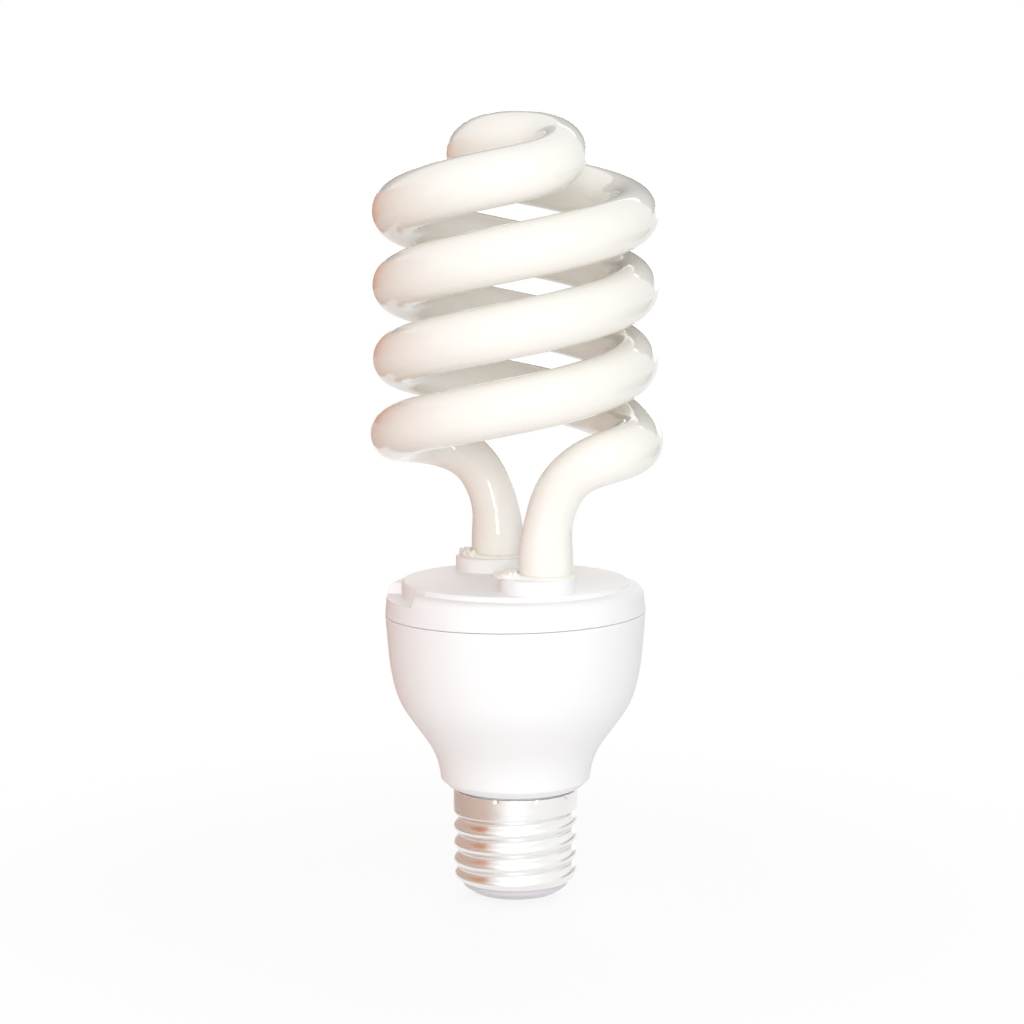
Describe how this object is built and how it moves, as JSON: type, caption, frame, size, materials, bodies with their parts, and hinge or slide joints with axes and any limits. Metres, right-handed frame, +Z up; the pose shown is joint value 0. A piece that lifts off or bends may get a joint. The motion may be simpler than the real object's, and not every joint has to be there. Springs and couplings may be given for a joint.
{
  "type": "spiral energy saving lamp",
  "caption": "Compact fluorescent lamp: a two-start glass coil with an S-shaped top bridge on two legs, a white bell-shaped ballast housing and a 27 mm screw cap.",
  "frame": {"origin": "centre of the end contact's lower face, on the lamp's axis", "axes": "+Z up the lamp's axis from the screw cap to the coil, +X to the right and -Y towards the viewer of the picture"},
  "size_m": [0.062, 0.0596, 0.1662],
  "materials": {
    "coated_glass": "glossy glass, opaque phosphor coat inside",
    "cement": "matt white cement",
    "white_plastic": "satin white moulding",
    "cap_metal": "bright rolled metal",
    "cap_insulation": "pale cast insulation",
    "contact_metal": "tinned",
    "board_laminate": "paper laminate",
    "capacitor_sleeve": "shrink sleeve",
    "ferrite": "ground ferrite",
    "bobbin_plastic": "moulded",
    "enamelled_copper": "enamelled copper wire",
    "black_epoxy": "moulded epoxy",
    "film_epoxy": "dipped epoxy",
    "resistor_body": "lacquered",
    "diac_glass": "coated glass",
    "tinned_wire": "tinned"
  },
  "bodies": {
    "root": {"discharge_tube": "coated_glass", "front_leg_cement": "cement", "rear_leg_cement": "cement", "tube_cover": "white_plastic", "ballast_housing": "white_plastic", "screw_cap": "cap_metal", "cap_insulator": "cap_insulation", "centre_contact": "contact_metal", "ballast_board": "board_laminate", "smoothing_capacitor": "capacitor_sleeve", "choke_core": "ferrite", "choke_bobbin": "bobbin_plastic", "choke_winding": "enamelled_copper", "drive_core": "ferrite", "drive_windings": "enamelled_copper", "transistor_upper": "black_epoxy", "transistor_lower": "black_epoxy", "resonant_capacitor": "film_epoxy", "blocking_capacitor": "film_epoxy", "filter_capacitor": "film_epoxy", "filter_choke": "ferrite", "rectifier_diodes": "black_epoxy", "resistors": "resistor_body", "trigger_diac": "diac_glass", "fusible_resistor": "resistor_body", "neutral_lead": "tinned_wire", "wire_posts": "tinned_wire", "filament_leads": "tinned_wire"}
  },
  "joints": []
}
